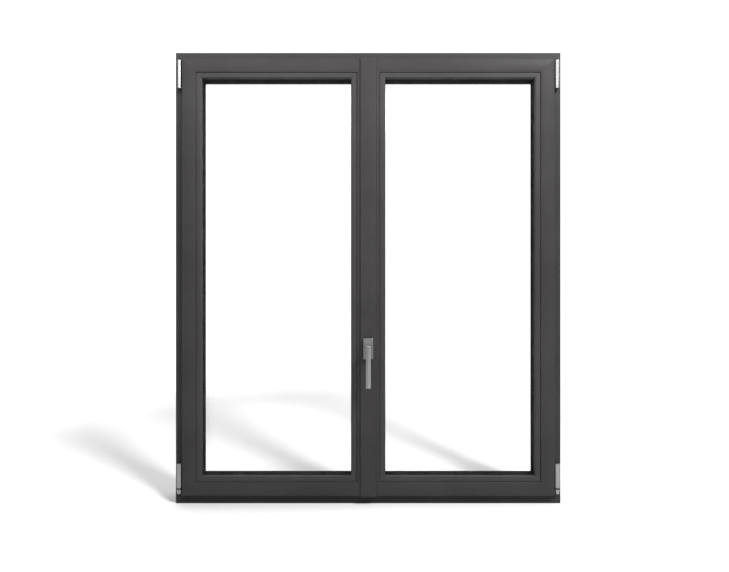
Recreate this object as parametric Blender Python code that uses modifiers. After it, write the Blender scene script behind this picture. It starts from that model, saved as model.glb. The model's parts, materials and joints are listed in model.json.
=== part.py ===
"""Two-leaf casement window: a fixed frame, an active tilt-and-turn leaf and a passive leaf.

Seen from the room: +X right, -Y towards the room, +Z up, origin under the middle of the frame.
"""
import math

import bmesh
import bpy
from mathutils import Matrix, Vector

# Driving dimensions, in metres.
FRAME_WIDTH = 1.200
FRAME_HEIGHT = 1.400
FRAME_DEPTH = 0.082
BASE_STRIP_HEIGHT = 0.005
BASE_STRIP_INSET = 0.0005
FRAME_FACE = 0.033        # frame member, from its outer edge to the rebate
LIP_BEYOND_REBATE = 0.022
LIP_DEPTH = 0.013
WALL = 0.003              # wall of every hollow section
CHAMBERS = 3              # hollow chambers behind the frame's room face

LEAF_DEPTH = 0.082
LEAF_PROUD = 0.016        # leaf face in front of the frame face
LEAF_MARGIN = 0.024       # frame's outer edge to the leaf's edge
FLANGE_THICK = 0.011
REBATE_AIR = 0.012        # between the leaf's body and the frame's rebate
FACE_FLAT = 0.036
STEP_RUN = 0.004
STEP_DROP = 0.0008
GLAZING_FLOOR = 0.044     # leaf's edge to the floor of the glazing rebate
LEAF_LIP_REACH = 0.052
LEAF_LIP_DEPTH = 0.019
LEAF_LIP_SLOPE = 0.0065   # how far the outer lip falls back towards the outside
EDGE_ROUND = 0.003
GROOVE_WIDTH = 0.012
GROOVE_DEPTH = 0.009
GROOVE_CENTRE_Y = -0.014

BEAD_REACH = 0.062        # leaf's edge to the sight line of the glass
BEAD_ROUND = 0.0045
BEAD_DROP = 0.0015        # bead face behind the leaf's face
PANE = 0.004
CAVITY = 0.016
GASKET = 0.003
GLASS_REACH = 0.046
SPACER_WIDTH = 0.007
SPACER_INSET = 0.0015
GASKET_SHOWS = 0.0012

ACTIVE_EDGE_X = -0.009    # meeting edges of the two leaves
PASSIVE_EDGE_X = -0.018
PASSIVE_CLIP = 0.027      # how much of the section the passive meeting stile leaves out
STRIP_WIDTH = 0.048
STRIP_THICK = 0.0042
STRIP_ROUND = 0.0015
OUTER_STRIP_LEFT = -0.036
OUTER_STRIP_RIGHT = 0.015
OUTER_STRIP_THICK = 0.0027

TILT_ANGLE = 7            # degrees that the active leaf tilts
HINGE_INSET = 0.015       # frame's outer edge to the hinge axis
HINGE_Y = -0.050
HINGE_RADIUS = 0.0065
COVER_WALL = 0.001
PIN_RADIUS = 0.003
BALL_RADIUS = 0.0028
NECK_RADIUS = 0.0019
BAND_THICK = 0.003
BAND_LEG_BACK = 0.034     # hinge axis to the back of the band on the leaf's edge
CRANK_START = 0.020       # where the arm leaves the flange, and where it is straight again
CRANK_END = 0.040
REST_BOTTOM = 0.030       # heights above the bottom of the frame
REST_HEIGHT = 0.0147
PIVOT_HEIGHT = 0.052
SLEEVE_BOTTOM = 0.0495
SLEEVE_HEIGHT = 0.0745
SLEEVE_SKIRT = 0.008      # sleeve's foot to the band behind it
BEARING_DROP = 0.1165     # below the top of the frame
KNUCKLE_DROP = 0.0423
KNUCKLE_HEIGHT = 0.0128
KNUCKLE_CAP = 0.0015

HANDLE_HEIGHT = 0.481     # above the bottom of the frame
ROSETTE_WIDTH = 0.030
ROSETTE_HEIGHT = 0.064
ROSETTE_THICK = 0.0117
NECK_DIAMETER = 0.016
LEVER_WIDTH = 0.0145
LEVER_THICK = 0.012
LEVER_BELOW = 0.113
LEVER_ABOVE = 0.011
LEVER_FRONT = 0.0495      # strip face to the lever's front
HANDLE_ROUND = 0.003
SPINDLE = 0.007
SPINDLE_HOLE = 0.006      # radius, clear of the square spindle's corners
HUB_RADIUS = 0.0062
GEARBOX_HEIGHT = 0.120
GEARBOX_WIDTH = 0.0217
GEARBOX_DEPTH = 0.0107

ROD_TRAVEL = 0.036
ROD_WIDTH = 0.008
ROD_THICK = 0.002
ROD_END = 0.005           # rod's end to the end of the groove
FACEPLATE_THICK = 0.002
PLATE_OVERLAP = 0.002     # of a plate beyond the groove that it covers
CAM_RADIUS = 0.0035
TOP_CAM_X = 0.070
STAY_ARM_REACH = 0.428    # hinge axis to the sliding stud, across the leaf
STAY_ARM_WIDTH = 0.014
BAND_REACH = 0.120
STAY_RAIL_THICK = 0.0015
STAY_RAIL_END = 0.060     # hinge axis to the rail's end
STAY_SLOT = 0.030
STUD_RADIUS = 0.004
PLATE_THICK = 0.003
BOLT_LENGTH = 0.190
KEEP_HEIGHT = 0.0074
KEEP_MARGIN = 0.004       # keep's room side to the groove
STRIKER_END_NEAR = 0.010
STRIKER_END_FAR = 0.012
BOLT_KEEP_END = 0.0045
END_MARGIN = 0.010        # how far short of a leaf's corner the long hardware stops
END_ZONE = 0.020          # what is cleared at the ends of a meeting stile
EASE = 0.001              # small chamfers and steps

# Clearances.
GAP = 0.0003              # between pieces that touch
RUNNING = 0.0006          # between pieces that turn or slide
SEAL_GAP = 0.0008         # behind a leaf at its seal, and behind its flange
TIP_PLAY = 0.0015         # between a cam or a bolt and its keep
BOLT_PLAY = 0.0025
SIDES = 24                # facets round a turned piece

# Places that follow from the dimensions above.
FRAME_FRONT = -FRAME_DEPTH / 2
FRAME_BACK = FRAME_DEPTH / 2
LIP_FRONT = FRAME_BACK - LIP_DEPTH
LEFT, RIGHT = -FRAME_WIDTH / 2, FRAME_WIDTH / 2
BOTTOM, TOP = BASE_STRIP_HEIGHT, BASE_STRIP_HEIGHT + FRAME_HEIGHT
LEAF_FRONT = FRAME_FRONT - LEAF_PROUD
LEAF_BACK = LEAF_FRONT + LEAF_DEPTH
FLANGE_BACK = LEAF_FRONT + FLANGE_THICK
STEP_Y = LEAF_FRONT + STEP_DROP
LEAF_LIP_Y = LEAF_BACK - LEAF_LIP_DEPTH
LEAF_BOTTOM, LEAF_TOP = BOTTOM + LEAF_MARGIN, TOP - LEAF_MARGIN
BODY_EDGE = FRAME_FACE + REBATE_AIR - LEAF_MARGIN
BODY_BOTTOM, BODY_TOP = LEAF_BOTTOM + BODY_EDGE, LEAF_TOP - BODY_EDGE
REBATE_BOTTOM, REBATE_TOP = BOTTOM + FRAME_FACE, TOP - FRAME_FACE
GROOVE_FRONT = GROOVE_CENTRE_Y - GROOVE_WIDTH / 2
GROOVE_BACK = GROOVE_CENTRE_Y + GROOVE_WIDTH / 2
OUTER_PANE_Y = LEAF_LIP_Y - GASKET - PANE
INNER_PANE_Y = OUTER_PANE_Y - CAVITY - PANE
BEAD_FRONT = LEAF_FRONT + BEAD_DROP
BEAD_BACK = INNER_PANE_Y - GASKET
ACTIVE_RECT = (ACTIVE_EDGE_X, RIGHT - LEAF_MARGIN, LEAF_BOTTOM, LEAF_TOP)
PASSIVE_RECT = (LEFT + LEAF_MARGIN, PASSIVE_EDGE_X + PASSIVE_CLIP, LEAF_BOTTOM, LEAF_TOP)
HINGE_X = RIGHT - HINGE_INSET
PIVOT_Z = BOTTOM + PIVOT_HEIGHT
KNUCKLE_Z = TOP - KNUCKLE_DROP
ARM_Z = KNUCKLE_Z + RUNNING
STRIP_BACK = LEAF_FRONT - GAP
STRIP_FRONT = STRIP_BACK - STRIP_THICK
HANDLE_Z = BOTTOM + HANDLE_HEIGHT

Y_AXIS = Vector((0, 1, 0))


def new_collection(name):
    collection = bpy.data.collections.new(name)
    bpy.context.scene.collection.children.link(collection)
    return collection


def clear_scene():
    for old in list(bpy.data.objects):
        bpy.data.objects.remove(old, do_unlink=True)


clear_scene()
parts = new_collection("casement_window")
cutters = new_collection("cutters")


def finish(name, colour, roughness, metallic=0.0, transmission=0.0):
    material = bpy.data.materials.new(name)
    material.use_nodes = True
    shader = material.node_tree.nodes["Principled BSDF"]
    shader.inputs["Base Color"].default_value = (*colour, 1)
    shader.inputs["Roughness"].default_value = roughness
    shader.inputs["Metallic"].default_value = metallic
    shader.inputs["Transmission Weight"].default_value = transmission
    material.diffuse_color = (*colour, 1)
    return material


FOIL = finish("dark_grey_foil", (0.105, 0.102, 0.103), 0.45)
SATIN = finish("satin_silver", (0.60, 0.61, 0.62), 0.35, metallic=1.0)
STEEL = finish("zinc_plated_steel", (0.50, 0.50, 0.47), 0.40, metallic=1.0)
DIE_CAST = finish("die_cast_zinc", (0.42, 0.42, 0.42), 0.50, metallic=1.0)
RUBBER = finish("black_rubber", (0.015, 0.015, 0.015), 0.70)
GLASS = finish("clear_glass", (0.95, 0.97, 0.96), 0.02, transmission=1.0)
SPACER = finish("warm_edge_spacer", (0.05, 0.05, 0.05), 0.60)


# --- Tools that make solids ---

def new_object(name, mesh, look, pivot=None, collection=parts):
    """Object whose origin is at its pivot's place, or at the world's origin."""
    obj = bpy.data.objects.new(name, mesh)
    collection.objects.link(obj)
    if look:
        mesh.materials.clear()
        mesh.materials.append(look)
    if pivot:
        mesh.transform(Matrix.Translation(-pivot.location))
        obj.parent = pivot
    mesh.shade_smooth()
    mesh.set_sharp_from_angle(angle=math.radians(30))
    return obj


def pivot_at(name, place):
    """Empty on a joint's axis, which carries the pieces that move about it."""
    empty = bpy.data.objects.new(name, None)
    empty.location = place
    empty.empty_display_size = 0.03
    parts.objects.link(empty)
    return empty


def taken_mesh(obj):
    """Takes an object's finished mesh and removes the object."""
    mesh = bpy.data.meshes.new_from_object(obj.evaluated_get(bpy.context.evaluated_depsgraph_get()))
    bpy.data.objects.remove(obj, do_unlink=True)
    return mesh


def closed(mesh):
    """Welds a curve's loose caps to its sides and turns every face outwards."""
    work = bmesh.new()
    work.from_mesh(mesh)
    bmesh.ops.remove_doubles(work, verts=work.verts, dist=0.00001)
    bmesh.ops.recalc_face_normals(work, faces=work.faces)
    work.to_mesh(mesh)
    work.free()
    return mesh


def extruded(loops, low, high):
    """Prism over a flat outline and its holes, from low to high along Z."""
    curve = bpy.data.curves.new("outline", "CURVE")
    curve.dimensions = "2D"
    curve.fill_mode = "BOTH"
    curve.extrude = (high - low) / 2
    for loop in loops:
        spline = curve.splines.new("POLY")
        spline.points.add(len(loop) - 1)
        for point, (x, y) in zip(spline.points, loop):
            point.co = (x, y, 0, 1)
        spline.use_cyclic_u = True
    holder = bpy.data.objects.new("outline", curve)
    bpy.context.scene.collection.objects.link(holder)
    mesh = closed(taken_mesh(holder))
    bpy.data.curves.remove(curve)
    mesh.transform(Matrix.Translation((0, 0, (low + high) / 2)))
    return mesh


def box_mesh(low, high, bevel=0.0):
    """Cuboid between two corners, its edges rounded if asked."""
    low, high = Vector(low), Vector(high)
    work = bmesh.new()
    bmesh.ops.create_cube(work, size=1)
    bmesh.ops.scale(work, vec=high - low, verts=work.verts)
    bmesh.ops.translate(work, vec=(low + high) / 2, verts=work.verts)
    if bevel:
        bmesh.ops.bevel(work, geom=work.edges[:], offset=bevel, segments=2, profile=0.5, affect="EDGES")
    mesh = bpy.data.meshes.new("box")
    work.to_mesh(mesh)
    work.free()
    return mesh


def turned_mesh(profile, centre, axis=(0, 0, 1)):
    """Solid of revolution; the profile of (radius, height) runs down its outer side."""
    mesh = bpy.data.meshes.new("profile")
    count = len(profile)
    edges = [(i, i + 1) for i in range(count - 1)]
    if profile[0][0] > 0:
        edges.append((count - 1, 0))
    mesh.from_pydata([(radius, 0, height) for radius, height in profile], edges, [])
    holder = bpy.data.objects.new("profile", mesh)
    bpy.context.scene.collection.objects.link(holder)
    screw = holder.modifiers.new("turn", "SCREW")
    screw.axis = "Z"
    screw.angle = math.tau
    screw.steps = screw.render_steps = SIDES
    screw.use_merge_vertices = True
    screw.merge_threshold = 0.00001
    turned = closed(taken_mesh(holder))
    lie = Vector((0, 0, 1)).rotation_difference(Vector(axis)).to_matrix().to_4x4()
    turned.transform(Matrix.Translation(centre) @ lie)
    return turned


def rod_profile(radius, low, high):
    return [(0, high), (radius, high), (radius, low), (0, low)]


def cylinder_mesh(centre, axis, radius, low, high):
    return turned_mesh(rod_profile(radius, low, high), centre, axis)


def with_tool(obj, tool_mesh, operation):
    """Adds a Boolean modifier whose tool stays among the cutters."""
    tool = bpy.data.objects.new(f"{obj.name}_{operation.lower()}", tool_mesh)
    cutters.objects.link(tool)
    tool.hide_render = True
    tool.display_type = "WIRE"
    if obj.parent:
        tool_mesh.transform(Matrix.Translation(-obj.parent.location))
        tool.parent = obj.parent
    modifier = obj.modifiers.new(operation.lower(), "BOOLEAN")
    modifier.operation = operation
    modifier.solver = "EXACT"
    modifier.object = tool


def cut(obj, tool_mesh):
    with_tool(obj, tool_mesh, "DIFFERENCE")


def join(obj, tool_mesh):
    with_tool(obj, tool_mesh, "UNION")


def arc(centre, radius, start, end, steps):
    """Points along an arc, in degrees."""
    angles = [math.radians(start + (end - start) * i / steps) for i in range(steps + 1)]
    return [(centre[0] + radius * math.cos(a), centre[1] + radius * math.sin(a)) for a in angles]


def rectangle(x0, x1, y0, y1):
    return [(x0, y0), (x1, y0), (x1, y1), (x0, y1)]


# --- Sections: u runs inwards from a member's outer edge, y towards the outside ---

def frame_section():
    lip = FRAME_FACE + LIP_BEYOND_REBATE
    outline = [(0, FRAME_FRONT), (FRAME_FACE, FRAME_FRONT), (FRAME_FACE, LIP_FRONT),
               (lip, LIP_FRONT), (lip, FRAME_BACK), (0, FRAME_BACK)]
    inner = FRAME_FACE - WALL
    pitch = (FRAME_DEPTH - WALL) / CHAMBERS
    chambers = [
        rectangle(WALL, inner, FRAME_FRONT + WALL + i * pitch, FRAME_FRONT + (i + 1) * pitch)
        for i in range(CHAMBERS)
    ]
    chambers.append(rectangle(FRAME_FACE, lip - WALL, LIP_FRONT + WALL, FRAME_BACK - WALL))
    return [outline, *chambers]


def leaf_section(front_edge, body_edge):
    """Section of a leaf member whose face starts at front_edge and whose body at body_edge."""
    corner = (front_edge + EDGE_ROUND, LEAF_FRONT + EDGE_ROUND)
    floor = body_edge + GROOVE_DEPTH
    outline = arc(corner, EDGE_ROUND, 180, 270, 3)
    outline += [
        (FACE_FLAT, LEAF_FRONT), (FACE_FLAT + STEP_RUN, STEP_Y), (GLAZING_FLOOR, STEP_Y),
        (GLAZING_FLOOR, LEAF_LIP_Y), (LEAF_LIP_REACH, LEAF_LIP_Y),
        (LEAF_LIP_REACH - LEAF_LIP_SLOPE, LEAF_BACK),
        (body_edge, LEAF_BACK), (body_edge, GROOVE_BACK), (floor, GROOVE_BACK),
        (floor, GROOVE_FRONT), (body_edge, GROOVE_FRONT),
    ]
    if front_edge < body_edge:
        outline += [(body_edge, FLANGE_BACK), (front_edge, FLANGE_BACK)]
    return [outline, *leaf_chambers(front_edge, body_edge)]


def leaf_chambers(front_edge, body_edge):
    inner = GLAZING_FLOOR - WALL
    front, middle = LEAF_FRONT + WALL, GROOVE_FRONT - GROOVE_WIDTH
    chambers = [
        rectangle(body_edge + WALL, inner, front, middle - WALL),
        rectangle(body_edge + WALL, inner, GROOVE_BACK + 2 * WALL, LEAF_BACK - WALL),
    ]
    beside_groove = body_edge + GROOVE_DEPTH + WALL
    if inner - beside_groove > WALL:
        chambers.append(rectangle(beside_groove, inner, middle, GROOVE_BACK + WALL))
    if front_edge < body_edge:
        chambers.append(rectangle(front_edge + WALL, body_edge, front, FLANGE_BACK - WALL))
    return chambers


def bead_section():
    start = GLAZING_FLOOR + GAP
    corner = (BEAD_REACH - BEAD_ROUND, BEAD_FRONT + BEAD_ROUND)
    chamfer = EDGE_ROUND / 2
    outline = [(start, BEAD_BACK), (start, BEAD_FRONT + chamfer), (start + chamfer, BEAD_FRONT)]
    outline += arc(corner, BEAD_ROUND, 270, 360, 4)
    outline += [(BEAD_REACH, BEAD_BACK)]
    hollow = rectangle(start + WALL, BEAD_REACH - WALL, BEAD_FRONT + BEAD_ROUND, BEAD_BACK - WALL)
    return [outline, hollow]


def mitred(section, origin, inwards, length):
    """Member along one side of a rectangle, its two ends mitred and a gap short of them."""
    mesh = extruded(section, 0, length)
    for vertex in mesh.vertices:
        setback = vertex.co.x + GAP / 2
        vertex.co.z = setback if vertex.co.z < length / 2 else length - setback
    along = inwards.cross(Y_AXIS)
    turn = Matrix((inwards, Y_AXIS, along)).transposed().to_4x4()
    mesh.transform(Matrix.Translation(origin) @ turn)
    return mesh


def ring_sides(rect):
    """Origin, inward direction and length of each side of a rectangle (left, right, low, high)."""
    left, right, low, high = rect
    across, up = right - left, high - low
    return {
        "top": (Vector((left, 0, high)), Vector((0, 0, -1)), across),
        "bottom": (Vector((right, 0, low)), Vector((0, 0, 1)), across),
        "left": (Vector((left, 0, low)), Vector((1, 0, 0)), up),
        "right": (Vector((right, 0, high)), Vector((-1, 0, 0)), up),
    }


def rect_loop(rect, inset):
    left, right, low, high = rect
    return rectangle(left + inset, right - inset, low + inset, high - inset)


def flat_ring(rect, outer, inner, front, back):
    """Rectangular ring that stands upright, from front to back."""
    mesh = extruded([rect_loop(rect, outer), rect_loop(rect, inner)], -back, -front)
    mesh.transform(Matrix.Rotation(math.pi / 2, 4, "X"))
    return mesh


# --- The fixed frame ---

def make_frame():
    rect = (LEFT, RIGHT, BOTTOM, TOP)
    names = {"top": "frame_head", "bottom": "frame_sill",
             "left": "frame_jamb_left", "right": "frame_jamb_right"}
    for side, (origin, inwards, length) in ring_sides(rect).items():
        new_object(names[side], mitred(frame_section(), origin, inwards, length), FOIL)
    strip = box_mesh((LEFT, FRAME_FRONT + BASE_STRIP_INSET, 0),
                     (RIGHT, FRAME_BACK - BASE_STRIP_INSET, BASE_STRIP_HEIGHT - GAP))
    new_object("base_strip", strip, FOIL)
    seat = FRAME_FACE + LIP_BEYOND_REBATE / 2
    front = LEAF_BACK + SEAL_GAP
    gasket = flat_ring(rect, seat + GASKET, seat + 3 * GASKET, front, LIP_FRONT - GAP)
    new_object("frame_gasket", gasket, RUBBER)


def make_keep(name, surface, up, low_x, high_x, slot_low, slot_high):
    """Keep on the head (up = -1) or the sill (up = 1), open towards the room."""
    front, back = GROOVE_FRONT - KEEP_MARGIN, GROOVE_BACK + KEEP_MARGIN
    near, far = surface + up * GAP, surface + up * (KEEP_HEIGHT - GAP)
    low, high = min(near, far), max(near, far)
    keep = new_object(name, box_mesh((low_x, front, low), (high_x, back, high)), DIE_CAST)
    slot_back = GROOVE_BACK + RUNNING
    cut(keep, box_mesh((slot_low, front - WALL, low - WALL), (slot_high, slot_back, high + WALL)))


def make_keeps():
    play = CAM_RADIUS + TIP_PLAY
    slot = (TOP_CAM_X - play, TOP_CAM_X + ROD_TRAVEL + play)
    ends = (slot[0] - STRIKER_END_NEAR, slot[1] + STRIKER_END_FAR)
    bolt_slot = (PASSIVE_EDGE_X - GROOVE_DEPTH - BOLT_PLAY, PASSIVE_EDGE_X + BOLT_PLAY)
    bolt_ends = (bolt_slot[0] - BOLT_KEEP_END, bolt_slot[1] + BOLT_KEEP_END)
    for name, surface, up in (("head", REBATE_TOP, -1), ("sill", REBATE_BOTTOM, 1)):
        make_keep(f"striker_{name}", surface, up, *ends, *slot)
        make_keep(f"bolt_keep_{name}", surface, up, *bolt_ends, *bolt_slot)


# --- Hinges ---

def plan_mesh(side, loop, low, high):
    """Prism over a plan outline given from the hinge axis, x towards the leaf's middle."""
    points = [(side * (HINGE_X - x), HINGE_Y + y) for x, y in loop]
    return extruded([points], low, high)


def hinge_centre(side):
    return Vector((side * HINGE_X, HINGE_Y, 0))


def make_frame_hinge(side, name):
    """What the frame carries on one side: upper bearing, its pin and cover, and the lower rest."""
    centre = hinge_centre(side)
    low, high = TOP - BEARING_DROP, KNUCKLE_Z - EASE
    bore = PIN_RADIUS + GAP
    outer = HINGE_RADIUS - COVER_WALL - GAP
    face = FRAME_FRONT - HINGE_Y - GAP
    foot = rectangle(-outer, outer, HINGE_RADIUS - WALL, face)
    bearing = new_object(f"top_bearing_{name}", plan_mesh(side, foot, low + GAP, high), STEEL)
    join(bearing, cylinder_mesh(centre, (0, 0, 1), outer, low + GAP, high))
    cut(bearing, cylinder_mesh(centre, (0, 0, 1), bore, low - WALL, high + WALL))
    pin_top = KNUCKLE_Z + KNUCKLE_HEIGHT - 2 * EASE
    pin = cylinder_mesh(centre, (0, 0, 1), PIN_RADIUS, low + GAP, pin_top)
    new_object(f"top_pin_{name}", pin, STEEL)
    inner = HINGE_RADIUS - COVER_WALL
    cover = arc((0, 0), HINGE_RADIUS, 180, 360, SIDES // 2) + [(HINGE_RADIUS, face), (inner, face)]
    cover += arc((0, 0), inner, 360, 180, SIDES // 2) + [(-inner, face), (-HINGE_RADIUS, face)]
    new_object(f"top_hinge_cover_{name}", plan_mesh(side, cover, low, high), SATIN)
    make_pivot_rest(side, name, centre, face)


def make_pivot_rest(side, name, centre, face):
    low = BOTTOM + REST_BOTTOM
    high = low + REST_HEIGHT
    foot_width = HINGE_RADIUS - 2 * EASE
    foot = rectangle(-foot_width, foot_width, foot_width - 2 * EASE, face)
    rest = new_object(f"pivot_rest_{name}", plan_mesh(side, foot, low, high - EASE), SATIN)
    join(rest, turned_mesh([(0, high), (HINGE_RADIUS, high), (HINGE_RADIUS, high - WALL),
                            (foot_width, low), (0, low)], centre))
    cut(rest, cylinder_mesh(centre, (0, 0, 1), NECK_RADIUS + GAP, low + WALL, high + WALL))


def corner_pin_mesh(side):
    """Pin whose ball end carries the leaf; it stands in the pivot rest."""
    low = BOTTOM + REST_BOTTOM + WALL + GAP
    neck_angle = math.degrees(math.asin(NECK_RADIUS / BALL_RADIUS))
    ball = arc((0, PIVOT_Z), BALL_RADIUS, 90, neck_angle - 90, 8)
    profile = [(0, PIVOT_Z + BALL_RADIUS), *ball[1:], (NECK_RADIUS, low), (0, low)]
    return turned_mesh(profile, hinge_centre(side))


def make_sleeve(side, name, pivot):
    """Hinge sleeve over the ball, with the band that holds it to the leaf's edge."""
    low, bore = BOTTOM + SLEEVE_BOTTOM, BALL_RADIUS + RUNNING
    high = low + SLEEVE_HEIGHT
    socket = PIVOT_Z + BALL_RADIUS + RUNNING
    profile = [(0, high), (HINGE_RADIUS - EASE, high), (HINGE_RADIUS, high - EASE),
               (HINGE_RADIUS, low), (bore, low), (bore, socket), (0, socket + 2 * EASE)]
    edge = LEAF_MARGIN + BODY_EDGE - HINGE_INSET - GAP
    front = FLANGE_BACK - HINGE_Y + SEAL_GAP
    leg = edge - BAND_THICK
    band = [(0, front), (edge, front), (edge, BAND_LEG_BACK), (leg, BAND_LEG_BACK),
            (leg, front + BAND_THICK), (0, front + BAND_THICK)]
    sleeve = new_object(name, plan_mesh(side, band, low + SLEEVE_SKIRT, high - EASE), SATIN, pivot)
    join(sleeve, turned_mesh(profile, hinge_centre(side)))


def arm_mesh(side, reach, low):
    """Flat arm in the rebate, cranked round the leaf's flange to its knuckle."""
    front = FLANGE_BACK - HINGE_Y + SEAL_GAP
    centre = GROOVE_CENTRE_Y - HINGE_Y
    near, far = centre - STAY_ARM_WIDTH / 2, centre + STAY_ARM_WIDTH / 2
    inner = LEAF_MARGIN + BODY_EDGE - HINGE_INSET - REBATE_AIR + BAND_THICK
    outline = [(0, front), (inner + CRANK_START, front), (inner + CRANK_END, near), (reach, near)]
    outline += arc((reach, centre), STAY_ARM_WIDTH / 2, -90, 90, 6)[1:]
    outline += [(inner, far), (inner, front + BAND_THICK), (0, front + BAND_THICK)]
    return plan_mesh(side, outline, low, low + PLATE_THICK)


def knuckle_mesh(side):
    high = KNUCKLE_Z + KNUCKLE_HEIGHT
    bore, cap = PIN_RADIUS + GAP, high - KNUCKLE_CAP
    profile = [(0, high), (HINGE_RADIUS - EASE, high), (HINGE_RADIUS, high - EASE),
               (HINGE_RADIUS, KNUCKLE_Z), (bore, KNUCKLE_Z), (bore, cap), (0, cap)]
    return turned_mesh(profile, hinge_centre(side))


def make_passive_band(pivot):
    """Arm of the passive leaf's upper hinge, on a pad that is screwed to the leaf's top edge."""
    band = new_object("passive_top_band", arm_mesh(-1, BAND_REACH, ARM_Z), STEEL, pivot)
    join(band, knuckle_mesh(-1))
    near, far = LEFT + LEAF_MARGIN + BODY_EDGE + END_MARGIN, BAND_REACH - HINGE_X
    pad = box_mesh((near, GROOVE_FRONT + EASE, BODY_TOP + GAP), (far, GROOVE_BACK - EASE, ARM_Z + EASE))
    join(band, pad)


# --- Leaves ---

def make_ring(prefix, names, sections, rect, look, pivot):
    made = {}
    for side, (origin, inwards, length) in ring_sides(rect).items():
        mesh = mitred(sections[side], origin, inwards, length)
        made[side] = new_object(f"{prefix}_{names[side]}", mesh, look, pivot)
    return made


def make_glazing(prefix, rect, pivot):
    """Insulating glass unit, its spacer, the inner gasket and the four beads."""
    names = {"top": "bead_top", "bottom": "bead_bottom", "left": "bead_left", "right": "bead_right"}
    section = bead_section()
    make_ring(prefix, names, dict.fromkeys(names, section), rect, FOIL, pivot)
    (x0, z0), _, (x1, z1), _ = rect_loop(rect, GLASS_REACH)
    for name, y in (("glass_inner", INNER_PANE_Y), ("glass_outer", OUTER_PANE_Y)):
        new_object(f"{prefix}_{name}", box_mesh((x0, y, z0), (x1, y + PANE, z1)), GLASS, pivot)
    outer = GLASS_REACH + SPACER_INSET
    inner = outer + SPACER_WIDTH
    spacer = flat_ring(rect, outer, inner, INNER_PANE_Y + PANE + GAP, OUTER_PANE_Y - GAP)
    new_object(f"{prefix}_spacer", spacer, SPACER, pivot)
    outer, inner = GLASS_REACH + EASE, BEAD_REACH + GASKET_SHOWS
    gasket = flat_ring(rect, outer, inner, BEAD_BACK + GAP, INNER_PANE_Y - GAP)
    new_object(f"{prefix}_glazing_gasket", gasket, RUBBER, pivot)


def make_active_leaf(pivot):
    plain, meeting = leaf_section(0, BODY_EDGE), leaf_section(0, 0)
    sections = {"top": plain, "bottom": plain, "right": plain, "left": meeting}
    names = {"top": "rail_top", "bottom": "rail_bottom", "left": "stile_meeting", "right": "stile_hinge"}
    made = make_ring("active", names, sections, ACTIVE_RECT, FOIL, pivot)
    make_glazing("active", ACTIVE_RECT, pivot)
    stile = made["left"]
    cut_behind_flange(stile, BODY_TOP, LEAF_TOP + WALL)
    cut_behind_flange(stile, LEAF_BOTTOM - WALL, BODY_BOTTOM)
    half = GEARBOX_HEIGHT / 2 + GAP
    pocket_x = ACTIVE_EDGE_X + GEARBOX_WIDTH + 2 * GAP
    front = GROOVE_FRONT - GEARBOX_DEPTH - 2 * GAP
    cut(stile, box_mesh((ACTIVE_EDGE_X - WALL, front, HANDLE_Z - half),
                        (pocket_x, GROOVE_FRONT + GAP, HANDLE_Z + half)))
    cut(stile, spindle_hole(front + GAP))
    strip = new_object("centre_strip", box_mesh((-STRIP_WIDTH / 2, STRIP_FRONT, LEAF_BOTTOM),
                       (STRIP_WIDTH / 2, STRIP_BACK, LEAF_TOP), STRIP_ROUND), FOIL, pivot)
    cut(strip, spindle_hole(front + GAP))
    cut(strip, tilt_relief_mesh())


def tilt_relief_mesh():
    """Wedge behind the strip's foot, which swings towards the passive leaf as the active one tilts."""
    tilt = math.radians(TILT_ANGLE)
    at_pivot = HINGE_Y + (STRIP_BACK - HINGE_Y) / math.cos(tilt)
    behind, low = STRIP_BACK + WALL, LEAF_BOTTOM - WALL
    wedge = [(behind, low), (behind, PIVOT_Z + (behind - at_pivot) / math.tan(tilt)),
             (at_pivot - (PIVOT_Z - low) * math.tan(tilt), low)]
    mesh = extruded([wedge], -STRIP_WIDTH / 2 - WALL, (ACTIVE_EDGE_X + PASSIVE_EDGE_X) / 2)
    mesh.transform(Matrix(((0, 0, 1), (1, 0, 0), (0, 1, 0))).to_4x4())
    return mesh


def spindle_hole(end_y):
    return cylinder_mesh((0, 0, HANDLE_Z), (0, 1, 0), SPINDLE_HOLE, STRIP_FRONT - WALL, end_y)


def cut_behind_flange(stile, low, high):
    cut(stile, box_mesh((ACTIVE_EDGE_X - WALL, FLANGE_BACK, low),
                        (ACTIVE_EDGE_X + BODY_EDGE + GROOVE_DEPTH, LEAF_BACK + WALL, high)))


def make_passive_leaf(pivot):
    plain, meeting = leaf_section(0, BODY_EDGE), leaf_section(PASSIVE_CLIP, PASSIVE_CLIP)
    sections = {"top": plain, "bottom": plain, "left": plain, "right": meeting}
    names = {"top": "rail_top", "bottom": "rail_bottom", "left": "stile_hinge", "right": "stile_meeting"}
    made = make_ring("passive", names, sections, PASSIVE_RECT, FOIL, pivot)
    make_glazing("passive", PASSIVE_RECT, pivot)
    ends = (("top", BODY_TOP - END_ZONE, LEAF_TOP), ("bottom", LEAF_BOTTOM, BODY_BOTTOM + END_ZONE))
    for side, low, high in ends:
        end = box_mesh((PASSIVE_EDGE_X, LEAF_FRONT - WALL, low - WALL),
                       (PASSIVE_RECT[1] + WALL, LEAF_BACK + WALL, high + WALL))
        cut(made[side], end)
        passage = box_mesh((PASSIVE_EDGE_X - GROOVE_DEPTH, GROOVE_FRONT, low - WALL),
                           (PASSIVE_EDGE_X + WALL, GROOVE_BACK, high + WALL))
        cut(made[side], passage)
    clear = LIP_BEYOND_REBATE + 2 * EASE
    front = LEAF_BACK + GAP
    outer = box_mesh((OUTER_STRIP_LEFT, front, REBATE_BOTTOM + clear),
                     (OUTER_STRIP_RIGHT, front + OUTER_STRIP_THICK, REBATE_TOP - clear))
    new_object("outer_meeting_strip", outer, FOIL, pivot)


# --- Locking gear ---

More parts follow.
